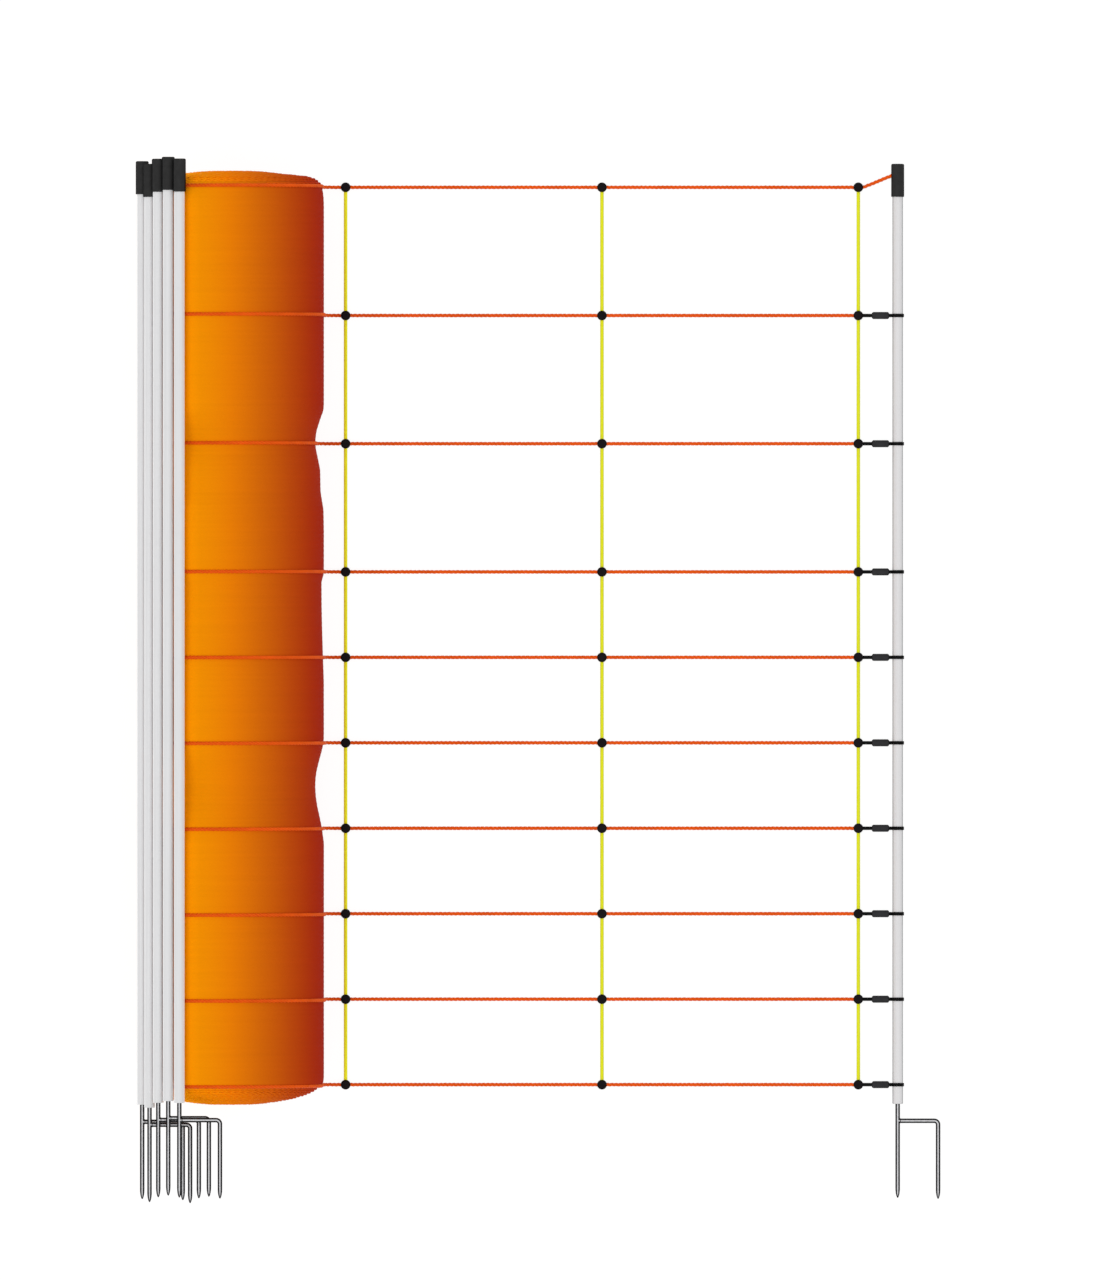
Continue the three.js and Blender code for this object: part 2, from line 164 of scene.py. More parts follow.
class Chart:
    """A material's node tree, with short calls that add nodes and join them."""

    def __init__(self, name: str) -> None:
        """Starts a material with one shader on its output.

        Args:
            name: The material's name.
        """
        self.material = bpy.data.materials.new(name)
        self.material.use_nodes = True
        self.tree = self.material.node_tree
        self.tree.nodes.clear()
        self.shader = self.add("BsdfPrincipled")
        self.add("OutputMaterial", {"Surface": self.shader.outputs["BSDF"]})
        self.places = self.add("TexCoord").outputs

    def add(self, kind: str, sockets: Sockets | None = None, **options: object) -> Node:
        """Adds a shader node, as add_node does."""
        return add_node(self.tree, f"ShaderNode{kind}", sockets, **options)

    def set(self, **values: float | Colour | Socket) -> None:
        """Sets or joins the shader's sockets, with underscores for the spaces in their names."""
        for name, value in values.items():
            socket = self.shader.inputs[name.replace("_", " ")]
            if isinstance(value, Socket):
                self.tree.links.new(value, socket)
            else:
                socket.default_value = value

    def across(self) -> Socket:
        """The place along X, in metres."""
        return self.add("SeparateXYZ", {0: self.places["Object"]}).outputs["X"]

    def facing_up(self) -> Socket:
        """How much the surface faces straight up or down, from 0 on a flank to 1."""
        rise = self.add("SeparateXYZ", {0: self.places["Normal"]}).outputs["Z"]
        return self.add("Math", {0: rise}, operation="ABSOLUTE").outputs[0]

    def shaded(self, flank: Colour, face: Colour, edge: Pair, facing: Socket) -> Socket:
        """Painted light and shade by facing: the flank's colour, which turns into the face's between two
        values of facing up.
        """
        return self.ramp(facing, ((edge[0], flank), (edge[1], face)))

    def noise(self, pattern: Pattern) -> Socket:
        """A noise pattern from 0 to 1, laid over the object's coordinates."""
        places = self.add("Mapping", {"Scale": pattern.stretch, "Vector": self.places["Object"]})
        values = {"Scale": pattern.scale, "Detail": pattern.detail, "Roughness": pattern.rough}
        return self.add("TexNoise", {"Vector": places.outputs["Vector"], **values}).outputs["Fac"]

    def span(self, value: Socket, target: Pair, source: Pair = NOISE) -> Socket:
        """A value mapped from a source range to a target range, and kept inside it."""
        ends = dict(zip(("From Min", "From Max", "To Min", "To Max"), (*source, *target)))
        return self.add("MapRange", {"Value": value, **ends}).outputs["Result"]

    def sum(self, first: Socket, second: Socket) -> Socket:
        """Two values added."""
        return self.add("Math", {0: first, 1: second}, operation="ADD").outputs[0]

    def ramp(self, value: Socket, stops: Sequence[tuple[float, Colour]]) -> Socket:
        """Colours along a value.

        Args:
            value: The value from 0 to 1.
            stops: Places and their colours, in order.

        Returns:
            The colour socket.
        """
        node = self.add("ValToRGB", {"Fac": value})
        band = node.color_ramp
        while len(band.elements) < len(stops):
            band.elements.new(1.0)
        for element, (place, colour) in zip(band.elements, stops):
            element.position = place
            element.color = colour
        return node.outputs["Color"]

    def paint(self, colour: Socket, tone: Socket) -> None:
        """Gives the shader a colour times a tone, and never lighter than white."""
        toned = self.add("VectorMath", {0: colour, "Scale": tone}, operation="SCALE")
        held = self.add("VectorMath", {0: toned.outputs["Vector"], 1: EVEN}, operation="MINIMUM")
        self.set(Base_Color=held.outputs["Vector"])

    def bump(self, height: Socket, depth_mm: float, strength: float) -> None:
        """Fine relief on the shader.

        Args:
            height: The relief's height from 0 to 1.
            depth_mm: How deep the relief is.
            strength: How much of it shows.
        """
        sockets = {"Height": height, "Strength": strength, "Distance": depth_mm * MM}
        self.set(Normal=self.add("Bump", sockets).outputs["Normal"])


@dataclass(frozen=True)
class WoundNetting:
    """Orange netting wound into a roll, with painted light and shade across it: painted bright orange on
    its left flank, as if lit from the left, and painted dark red on its right, as its shaded side, with
    a shift of hue between.

    The stops are places across the roll, from 0 on its left flank to 1 on its right.
    """

    axis_x: float
    radius: float
    name: str = "wound_orange_netting"
    # A tone that paints the whole netting lighter, used on the end turns as painted light against the
    # shade between their cords.
    painted_light_lift: float = 1.0
    # Painted light and shade across the roll; the first stops, beside the posts, are painted lighter
    # still against the shade that the posts cast.
    stops: tuple[tuple[float, Colour], ...] = (
        (0.16, shade(252, 158, 0)),
        (0.27, shade(244, 148, 0)),
        (0.34, shade(226, 133, 0)),
        (0.50, shade(217, 116, 2)),
        (0.66, shade(197, 95, 6)),
        (0.82, shade(179, 69, 9)),
        (0.94, shade(166, 44, 7)),
        (1.00, shade(158, 26, 2)),
    )
    turns: Pattern = Pattern(1.0, 3.0, 0.6, (6, 210, 6))
    fibres: Pattern = Pattern(12.0, 4.0, 0.65, (60, 60, 60))
    fibre_depth: float = 0.25
    relief: float = 0.5
    tone_swing: float = 0.02
    roughness: Pair = (0.64, 0.80)
    specular: float = 0.02

    def make(self) -> Material:
        """Builds the material."""
        chart = Chart(self.name)
        flanks = ((self.axis_x - self.radius) * MM, (self.axis_x + self.radius) * MM)
        body = chart.ramp(chart.span(chart.across(), (0, 1), flanks), self.stops)
        turns, fibres = chart.noise(self.turns), chart.noise(self.fibres)
        tones = (self.painted_light_lift - self.tone_swing, self.painted_light_lift + self.tone_swing)
        swings = (-self.tone_swing, self.tone_swing)
        chart.paint(body, chart.sum(chart.span(turns, tones), chart.span(fibres, swings)))
        chart.bump(fibres, self.fibre_depth, self.relief)
        chart.set(Roughness=chart.span(fibres, self.roughness), Specular_IOR_Level=self.specular)
        return chart.material


@dataclass(frozen=True)
class PlasticCord:
    """Orange-red plastic yarn, twisted from fine filaments."""

    name: str = "orange_polywire"
    deep: Colour = shade(217, 81, 13)
    pale: Colour = shade(221, 87, 16)
    patches: Pattern = Pattern(55.0)
    patch_tones: Pair = (0.93, 1.05)
    filaments: Pattern = Pattern(1400.0)
    filament_tones: Pair = (-0.05, 0.05)
    filament_depth: float = 0.1
    relief: float = 0.6
    roughness: float = 0.55
    specular: float = 0.05

    def make(self) -> Material:
        """Builds the material."""
        chart = Chart(self.name)
        patches, filaments = chart.noise(self.patches), chart.noise(self.filaments)
        toned = chart.span(patches, self.patch_tones)
        tone = chart.sum(toned, chart.span(filaments, self.filament_tones))
        chart.paint(chart.ramp(patches, ((0.0, self.deep), (1.0, self.pale))), tone)
        chart.bump(filaments, self.filament_depth, self.relief)
        chart.set(Roughness=self.roughness, Specular_IOR_Level=self.specular)
        return chart.material


@dataclass(frozen=True)
class DrawnPlastic:
    """Smooth plastic drawn lengthwise along Y, with faint streaks and a painted flank colour: painted
    shade where the flanks are darker than the face, painted light where they are lighter.
    """

    name: str
    face: Colour
    # Flank colour painted by facing: painted shade where darker than the face, painted light where
    # lighter.
    flank: Colour
    flank_edge: Pair = (0.50, 0.66)
    streaks: Pattern = Pattern(1.0, 3.0, 0.55, (900, 9, 900))
    streak_tones: Pair = (0.97, 1.03)
    streak_depth: float = 0.06
    relief: float = 0.4
    scuffs: Pattern = Pattern(90.0, 5.0, 0.7)
    scuffed: Pair = (0.55, 0.8)
    scuff_tones: Pair = (0.0, -0.04)
    worn: Pair = (0.35, 0.7)
    roughness: Pair = (0.36, 0.54)
    specular: float = 0.2

    def make(self) -> Material:
        """Builds the material."""
        chart = Chart(self.name)
        body = chart.shaded(self.flank, self.face, self.flank_edge, chart.facing_up())
        streaks, scuffs = chart.noise(self.streaks), chart.noise(self.scuffs)
        streaked = chart.span(streaks, self.streak_tones)
        chart.paint(body, chart.sum(streaked, chart.span(scuffs, self.scuff_tones, self.scuffed)))
        chart.bump(streaks, self.streak_depth, self.relief)
        roughness = chart.span(scuffs, self.roughness, self.worn)
        chart.set(Roughness=roughness, Specular_IOR_Level=self.specular)
        return chart.material


@dataclass(frozen=True)
class MouldedPlastic:
    """Dark moulded plastic with a fine grain, and painted shade that makes it darker down its flanks and
    round its ends.
    """

    name: str
    face: Colour
    # The flank colour is painted shade.
    flank: Colour
    flank_edge: Pair = (0.50, 0.62)
    grain: Pattern = Pattern(2600.0, 3.0, 0.6)
    grain_depth: float = 0.08
    relief: float = 0.5
    wear: Pattern = Pattern(140.0, 4.0, 0.65)
    toned: Pair = (0.35, 0.75)
    tones: Pair = (0.9, 1.15)
    worn: Pair = (0.35, 0.7)
    roughness: Pair = (0.58, 0.42)
    specular: float = 0.06

    def make(self) -> Material:
        """Builds the material."""
        chart = Chart(self.name)
        body = chart.shaded(self.flank, self.face, self.flank_edge, chart.facing_up())
        grain, wear = chart.noise(self.grain), chart.noise(self.wear)
        chart.paint(body, chart.span(wear, self.tones, self.toned))
        chart.bump(grain, self.grain_depth, self.relief)
        roughness = chart.span(wear, self.roughness, self.worn)
        chart.set(Roughness=roughness, Specular_IOR_Level=self.specular)
        return chart.material


@dataclass(frozen=True)
class GalvanisedSteel:
    """Zinc-coated steel rod: pale where it faces up, with painted shade that makes its flanks dark."""

    name: str = "galvanised_fork_steel"
    face: Colour = shade(184, 184, 186)
    # Painted shade: the flanks are painted dark where the rod turns from the light.
    flank: Colour = shade(32, 32, 34)
    flank_edge: Pair = (0.925, 0.985)
    edge_swing: Pair = (-0.006, 0.006)
    spangle: Pattern = Pattern(420.0, 3.0, 0.6)
    spangle_tones: Pair = (0.9, 1.08)
    lines: Pattern = Pattern(1.0, stretch=(1500, 25, 1500))
    line_depth: float = 0.05
    relief: float = 0.4
    roughness: Pair = (0.32, 0.52)
    metallic: float = 0.5
    specular: float = 0.1
    edge_tint: Colour = (0.25, 0.25, 0.25, 1.0)

    def make(self) -> Material:
        """Builds the material."""
        chart = Chart(self.name)
        spangle, lines = chart.noise(self.spangle), chart.noise(self.lines)
        # Where the painted shade begins, made uneven by the spangle.
        edge = chart.sum(chart.facing_up(), chart.span(spangle, self.edge_swing))
        body = chart.shaded(self.flank, self.face, self.flank_edge, edge)
        chart.paint(body, chart.span(spangle, self.spangle_tones))
        chart.bump(lines, self.line_depth, self.relief)
        chart.set(
            Roughness=chart.span(lines, self.roughness),
            Metallic=self.metallic,
            Specular_IOR_Level=self.specular,
            Specular_Tint=self.edge_tint,
        )
        return chart.material


# Meshes


@dataclass(frozen=True)
class Seat:
    """Where a solid of the frame lies: its lowest and highest corners in millimetres."""

    low: Vector
    high: Vector

    @classmethod
    def of(cls, node: str) -> "Seat":
        """Reads a solid's box from the frame.

        Args:
            node: The solid's name.

        Returns:
            Its seat.
        """
        low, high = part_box(node)
        return cls(low / MM, high / MM)

    @property
    def middle(self) -> Vector:
        """The box's centre."""
        return (self.low + self.high) / 2


def unit_ring(sides: int) -> Outline:
    """The corners of a circle of radius 1."""
    turns = [side / sides * math.tau for side in range(sides)]
    return [(math.cos(turn), math.sin(turn)) for turn in turns]


def about(x: float, y: float, z: float) -> Place:
    """Gives the point at a place across, up and along from an axis that runs along Y."""
    return lambda across, up, along: (x + across, y + along, z + up)


def quarter_round(size: float, steps: int) -> Outline:
    """A rounded corner: how far each of its points still is from its end and from its start."""
    turns = [k / steps * math.pi / 2 for k in range(steps + 1)]
    return [(size * (1 - math.sin(turn)), size * (1 - math.cos(turn))) for turn in turns]


@dataclass
class Shell:
    """Corners and faces of one or more closed shells, in millimetres."""

    corners: list[Point] = field(default_factory=list)
    faces: list[tuple[int, ...]] = field(default_factory=list)

    def rings(self, rings: Sequence[Sequence[Point]], first: Point | None, last: Point | None) -> None:
        """Adds a shell made of rings of like size, with its faces turned outwards.

        Args:
            rings: The rings in order, each turning the same way.
            first: The point that closes the first ring, or None where the last ring joins it.
            last: The point that closes the last ring, or None as before.
        """
        base, sides = len(self.corners), len(rings[0])
        for ring in rings:
            self.corners.extend(ring)
        faces = []
        closed = first is None and last is None
        for k in range(len(rings) if closed else len(rings) - 1):
            here, there = base + k * sides, base + (k + 1) % len(rings) * sides
            for side in range(sides):
                after = (side + 1) % sides
                faces.append((here + side, here + after, there + after, there + side))
        if not closed:
            for tip, start, turn in ((first, base, -1), (last, base + (len(rings) - 1) * sides, 1)):
                self.corners.append(tip)
                for side in range(sides):
                    pair = (start + side, start + (side + 1) % sides)[::turn]
                    faces.append((*pair, len(self.corners) - 1))
        if self.room_inside(faces) < 0:
            faces = [face[::-1] for face in faces]
        self.faces.extend(faces)

    def room_inside(self, faces: Sequence[tuple[int, ...]]) -> float:
        """Six times the volume inside a shell's faces, below 0 where they face inwards."""
        room = 0.0
        for face in faces:
            first, *rest = [Vector(self.corners[k]) for k in face]
            for second, third in zip(rest, rest[1:]):
                room += first.dot(second.cross(third))
        return room

    def turned(self, outline: Outline, sides: int, place: Place) -> None:
        """Adds a body of revolution.

        Args:
            outline: Radius and height pairs. Where the first and last radius are 0 they are its
                poles, and otherwise the outline closes on itself.
            sides: How many sides it has.
            place: Takes the two places across the axis and the height, and gives the point.
        """
        poles = outline[0][0] == 0 and outline[-1][0] == 0
        body = outline[1:-1] if poles else outline
        rings = [
            [place(radius * cos, radius * sin, height) for cos, sin in unit_ring(sides)]
            for radius, height in body
        ]
        ends = (place(0, 0, outline[0][1]), place(0, 0, outline[-1][1])) if poles else (None, None)
        self.rings(rings, *ends)

    def swept(self, stations: Sequence[Vector], radii: Sequence[float], sides: int, up: Vector) -> None:
        """Adds a round rod along a path that lies in one plane.

        Args:
            stations: The path's points.
            radii: The rod's radius at each point.
            sides: How many sides it has.
            up: The way out of the path's plane.
        """
        rings = []
        for k, (middle, radius) in enumerate(zip(stations, radii)):
            before, after = stations[max(k - 1, 0)], stations[min(k + 1, len(stations) - 1)]
            side_way = (after - before).normalized().cross(up)
            rings.append([
                tuple(middle + radius * (cos * side_way + sin * up))
                for cos, sin in unit_ring(sides)
            ])
        self.rings(rings, tuple(stations[0]), tuple(stations[-1]))

    def piece(self, name: str, material: Material, sharp_deg: float = 40.0) -> Piece:
        """Makes the shells an object in metres.

        Args:
            name: The piece's name.
            material: Its finish.
            sharp_deg: Edges that bend more than this stay sharp.

        Returns:
            The object, which sits at the origin.
        """
        mesh = bpy.data.meshes.new(name)
        scaled = [(x * MM, y * MM, z * MM) for x, y, z in self.corners]
        mesh.from_pydata(scaled, [], self.faces)
        mesh.validate()
        mesh.shade_smooth()
        mesh.set_sharp_from_angle(angle=math.radians(sharp_deg))
        mesh.materials.append(material)
        return shown(name, mesh)


def shown(name: str, mesh: Mesh) -> Piece:
    """An object for a mesh, put in the scene at the origin."""
    piece = bpy.data.objects.new(name, mesh)
    bpy.context.scene.collection.objects.link(piece)
    return piece


def fitted(piece: Piece, slot: Slot, *nodes: str) -> Piece:
    """Puts a finished piece on the netting's body in place of its solids.

    Args:
        piece: The finished piece.
        slot: The record's slot; not used.
        nodes: The solids that it stands for.

    Returns:
        The same piece.
    """
    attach(piece, BODY)
    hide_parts(*nodes)
    LOG.info("%s: %d faces, for %s", piece.name, len(piece.data.polygons), ", ".join(nodes))
    return piece


# Trees of Geometry Nodes


class Tree:
    """A tree of geometry nodes with named inputs, which is run once on a mesh and taken off."""

    def __init__(self, name: str, inputs: Sequence[tuple[str, str]]) -> None:
        """Starts a tree.

        Args:
            name: The tree's name.
            inputs: Name and socket type of each input after the geometry.
        """
        self.group = bpy.data.node_groups.new(name, "GeometryNodeTree")
        sockets = self.group.interface
        sockets.new_socket(name="Geometry", in_out="INPUT", socket_type="NodeSocketGeometry")
        self.keys = {}
        for label, kind in inputs:
            socket = sockets.new_socket(name=label, in_out="INPUT", socket_type=kind)
            self.keys[label] = socket.identifier
        sockets.new_socket(name="Geometry", in_out="OUTPUT", socket_type="NodeSocketGeometry")
        self.given = self.group.nodes.new("NodeGroupInput")
        self.result = self.group.nodes.new("NodeGroupOutput")

    def add(self, kind: str, sockets: Sockets | None = None, **options: object) -> Node:
        """Adds a node, as add_node does."""
        return add_node(self.group, kind, sockets, **options)

    def number(self, kind: str, *values: object) -> Socket:
        """Arithmetic on values or sockets."""
        return self.add("ShaderNodeMath", dict(enumerate(values)), operation=kind).outputs[0]

    def vector(self, kind: str, sockets: Sockets) -> Socket:
        """Arithmetic on vectors."""
        return self.add("ShaderNodeVectorMath", sockets, operation=kind).outputs["Vector"]

    def end(self, geometry: Socket) -> None:
        """Closes the tree: shaded smooth, made real, and given the finish.

        Args:
            geometry: What the tree has made.
        """
        smooth = self.add("GeometryNodeSetShadeSmooth", {"Geometry": geometry})
        real = self.add("GeometryNodeRealizeInstances", {"Geometry": smooth.outputs["Geometry"]})
        painted = self.add(
            "GeometryNodeSetMaterial",
            {"Geometry": real.outputs["Geometry"], "Material": self.given.outputs["Finish"]},
        )
        self.group.links.new(painted.outputs["Geometry"], self.result.inputs["Geometry"])

    def grow(self, name: str, start: Mesh, values: dict[str, object]) -> Piece:
        """Runs the tree on a mesh and keeps the plain mesh that comes out.

        Args:
            name: The new piece's name.
            start: The mesh that the tree starts from.
            values: A value for each named input.

        Returns:
            The piece, without the modifier.
        """
        piece = shown(name, start)
        modifier = piece.modifiers.new(self.group.name, "NODES")
        modifier.node_group = self.group
        for label, value in values.items():
            modifier[self.keys[label]] = value
        graph = bpy.context.evaluated_depsgraph_get()
        made = bpy.data.meshes.new_from_object(piece.evaluated_get(graph), depsgraph=graph)
        piece.modifiers.clear()
        piece.data = made
        made.name = name
        bpy.data.meshes.remove(start)
        return piece


def path_mesh(name: str, stations: Sequence[Point]) -> Mesh:
    """A chain of edges through the stations, in metres.

    Args:
        name: The mesh's name.
        stations: The points in millimetres.

    Returns:
        The mesh.
    """
    mesh = bpy.data.meshes.new(name)
    corners = [(x * MM, y * MM, z * MM) for x, y, z in stations]
    mesh.from_pydata(corners, [(k, k + 1) for k in range(len(corners) - 1)], [])
    return mesh


@dataclass(frozen=True)
class CordLay:
    """How a cord is twisted from its plies, in millimetres."""

    ply_radius: float
    lay_radius: float
    lay_length: float
    step: float
    ply_sides: int
    plies: int = 3

    def inputs(self, finish: Material) -> dict[str, object]:
        """The values that the tree of laid cord takes."""
        return {
            "Plies": self.plies,
            "Ply radius": self.ply_radius * MM,
            "Lay radius": self.lay_radius * MM,
            "Lay length": self.lay_length * MM,
            "Step": self.step * MM,
            "Ply sides": self.ply_sides,
            "Finish": finish,
        }


def laid_cord_tree() -> Tree:
    """The tree that lays plies of round yarn round a path, as in a twisted cord."""
    tree = Tree(
        "laid_cord",
        (
            ("Plies", "NodeSocketInt"),
            ("Ply radius", "NodeSocketFloat"),
            ("Lay radius", "NodeSocketFloat"),
            ("Lay length", "NodeSocketFloat"),
            ("Step", "NodeSocketFloat"),
            ("Ply sides", "NodeSocketInt"),
            ("Finish", "NodeSocketMaterial"),
        ),
    )
    given = tree.given.outputs
    line = tree.add("GeometryNodeMeshToCurve", {"Mesh": given["Geometry"]})
    steps = {"Curve": line.outputs["Curve"], "Length": given["Step"]}
    even = tree.add("GeometryNodeResampleCurve", steps, mode="LENGTH")
    plies = {"Geometry": even.outputs["Curve"], "Amount": given["Plies"]}
    copies = tree.add("GeometryNodeDuplicateElements", plies, domain="SPLINE")
    along = tree.add("GeometryNodeSplineParameter").outputs["Length"]
    share = tree.number("DIVIDE", copies.outputs["Duplicate Index"], given["Plies"])
    turns = tree.number("ADD", tree.number("DIVIDE", along, given["Lay length"]), share)
    angle = tree.number("MULTIPLY", turns, math.tau)
    side = tree.add("GeometryNodeInputNormal").outputs["Normal"]
    ahead = tree.add("GeometryNodeInputTangent").outputs["Tangent"]
    across = tree.vector("CROSS_PRODUCT", {0: ahead, 1: side})
    arms = []
    for kind, way in (("COSINE", side), ("SINE", across)):
        reach = tree.number("MULTIPLY", tree.number(kind, angle), given["Lay radius"])
        arms.append(tree.vector("SCALE", {0: way, "Scale": reach}))
    moved = {"Geometry": copies.outputs["Geometry"], "Offset": tree.vector("ADD", dict(enumerate(arms)))}
    laid = tree.add("GeometryNodeSetPosition", moved)
    circle = {"Resolution": given["Ply sides"], "Radius": given["Ply radius"]}
    section = tree.add("GeometryNodeCurvePrimitiveCircle", circle, mode="RADIUS")
    swept = {"Curve": laid.outputs["Geometry"], "Profile Curve": section.outputs["Curve"]}
    tube = tree.add("GeometryNodeCurveToMesh", {**swept, "Fill Caps": True})
    tree.end(tube.outputs["Mesh"])
    return tree


def spaced_tree() -> Tree:
    """The tree that sets one small moulding on every point, each with its own small turn."""
    tree = Tree(
        "spaced_mouldings",
        (
            ("Moulding", "NodeSocketObject"),
            ("Largest turn", "NodeSocketFloat"),
            ("Seed", "NodeSocketInt"),
            ("Finish", "NodeSocketMaterial"),
        ),
    )
    given = tree.given.outputs
    moulding = {"Object": given["Moulding"]}
    source = tree.add("GeometryNodeObjectInfo", moulding, transform_space="ORIGINAL")
    draw = {"Seed": given["Seed"], 2: 0.0, 3: given["Largest turn"]}
    turn = tree.add("FunctionNodeRandomValue", draw, data_type="FLOAT")
    spin = tree.add("ShaderNodeCombineXYZ", {"Z": turn.outputs[1]})
    points = tree.add("GeometryNodeMeshToPoints", {"Mesh": given["Geometry"]})
    placed = tree.add(
        "GeometryNodeInstanceOnPoints",
        {
            "Points": points.outputs["Points"],
            "Instance": source.outputs["Geometry"],
            "Rotation": spin.outputs["Vector"],
        },
    )
    tree.end(placed.outputs["Instances"])
    return tree


# The object's sub-assemblies


@dataclass
class RolledNet:
    """The roll of netting: a wound body with a bore, and the cord turns on its two ends."""

    finish: Material
    # The end turns' finish, painted lighter as painted light against the shade between their cords.
    end_finish: Material
    cord: Tree
    seat: Seat = field(default_factory=lambda: Seat.of("net_roll"))
    base_y: float = field(default_factory=lambda: Seat.of("strand_10").middle.y)
    sides: int = 80
    step: float = 1.4
    winding_pitch: float = 5.6
    winding_height: float = 0.22
    least_winding: float = 0.55
    rounding_reach: int = 2
    bore_steps: int = 12
    flank_heights: Pair = (30.0, 1020.0)
    shoulder_radius: float = 106.5
    shoulder_fade: float = 6.0
    end_cord: CordLay = CordLay(0.95, 1.05, 24.0, 4.0, 5)
    end_turn_pitch: float = 4.3
    end_turn_steps: int = 60
    end_turn_radii: Pair = (23.5, 104.0)
    end_sink: float = 1.5
    fine_step: float = 0.5
    stray_sink: float = 0.3
    low_end: Outline = (
        (20.0, -22.3), (30.0, -21.8), (42.0, -20.7), (54.5, -18.9), (65.6, -17.0), (75.4, -14.8),
        (84.4, -12.1), (91.9, -9.1), (97.9, -5.7), (102.3, -2.6), (106.2, 1.0), (108.0, 4.5),
    )
    flank: Outline = (
        (108.4, 12.0), (108.4, 284.0), (107.6, 289.5), (105.8, 302.6), (103.0, 316.2),
        (100.7, 326.4), (99.1, 337.0), (98.3, 348.7), (98.6, 358.0), (99.8, 367.4),
        (102.7, 379.1), (106.3, 392.4), (108.2, 402.0), (108.4, 412.0), (108.3, 472.7),
        (107.1, 506.6), (106.3, 535.9), (105.8, 559.3), (105.6, 589.0), (107.7, 595.0),
        (108.4, 600.0), (108.4, 648.0), (107.9, 673.0), (106.3, 682.5), (104.5, 693.8),
        (104.3, 706.7), (104.1, 718.9), (100.9, 734.8), (99.1, 743.0), (98.4, 749.3),
        (98.7, 757.0), (99.9, 765.0), (104.4, 779.0), (107.9, 788.5), (108.4, 795.0),
        (108.4, 1029.0),
    )
    top_end: Outline = (
        (107.9, 1039.0), (106.6, 1047.5), (104.0, 1054.0), (101.0, 1057.4), (96.0, 1060.0),
        (90.0, 1062.0), (75.0, 1063.7), (61.0, 1064.9), (52.0, 1066.0), (40.0, 1067.4),
        (30.0, 1068.0), (20.0, 1068.4),
    )

    def __post_init__(self) -> None:
        """Sets the roll's heights to run from the lowest strand."""
        self.place = about(self.seat.middle.x, self.base_y, self.seat.middle.z)

    def even_outline(self) -> Outline:
        """The whole outer outline from the low bore edge to the top one, in even steps.

        Returns:
            Radius and height pairs, a little rounded where the given points bend.
        """
        even = stepped([*self.low_end, *self.flank, *self.top_end], self.step)
        rounded = [even[0]]
        for k in range(1, len(even) - 1):
            near = even[max(k - self.rounding_reach, 0):k + self.rounding_reach + 1]
            rounded.append(tuple(sum(places) / len(near) for places in zip(*near)))
        return [*rounded, even[-1]]

    def radius_at(self, height: float) -> float:
        """The flank's radius at a height above the lowest strand."""
        run = [*self.low_end, *self.flank, *self.top_end]
        for (r0, h0), (r1, h1) in zip(run, run[1:]):
            if h0 <= height <= h1:
                return r0 + (r1 - r0) * (height - h0) / (h1 - h0)
        return self.flank[0][0]

    def winding(self, along: float, turn: float, height: float) -> float:
        """How far the wound yarn stands out at a place on the surface.

        Args:
            along: The length along the outline.
            turn: The angle about the axis.
            height: The height above the lowest strand.

        Returns:
            The rise in millimetres, at most 0, because the outline is the yarn's crest.
        """
        drift = sum(
            size * math.sin(waves * turn + height / rise + start)
            for size, waves, rise, start in DRIFTS
        )
        wave = math.cos(math.tau * (along / self.winding_pitch + turn / math.tau) + drift)
        folds = math.prod(math.sin(waves * turn + height / rise) for waves, rise in FOLDS)
        depth = self.least_winding + (1 - self.least_winding) * (0.5 + 0.5 * folds)
        return -self.winding_height * (0.5 - 0.5 * wave) * depth

    def build_body(self) -> Piece:
        """Builds the wound body with its bore."""
        outline = self.even_outline()
        (bore, low_face), (_, top_face) = outline[0], outline[-1]
        flank_low, flank_top = self.flank_heights
        rings = []
        for k, (radius, height) in enumerate(outline):
            r0, h0 = outline[max(k - 1, 0)]
            r1, h1 = outline[min(k + 1, len(outline) - 1)]
            run = math.hypot(r1 - r0, h1 - h0)
            out_r, out_h = (h1 - h0) / run, -(r1 - r0) / run
            on_end = smooth_share((self.shoulder_radius - radius) / self.shoulder_fade)
            if flank_low <= height <= flank_top:
                on_end = 0.0
            end_way = -1 if height < flank_low else 1
            level = height - end_way * self.end_sink * on_end
            ring = []
            for side, (cos, sin) in enumerate(unit_ring(self.sides)):
                turn = side / self.sides * math.tau
                rise = self.winding(k * self.step, turn, height) * (1 - on_end)
                reach = radius + out_r * rise
                ring.append(self.place(reach * cos, reach * sin, level + out_h * rise))
            rings.append(ring)
        low_in, top_in = low_face + self.end_sink, top_face - self.end_sink
        for share in range(1, self.bore_steps):
            height = top_in + (low_in - top_in) * share / self.bore_steps
            rings.append([
                self.place(bore * cos, bore * sin, height) for cos, sin in unit_ring(self.sides)
            ])
        shell = Shell()
        shell.rings(rings, None, None)
        piece = shell.piece("rolled_netting", self.finish, sharp_deg=60)
        return fitted(piece, Slot.NETTING, "net_roll")

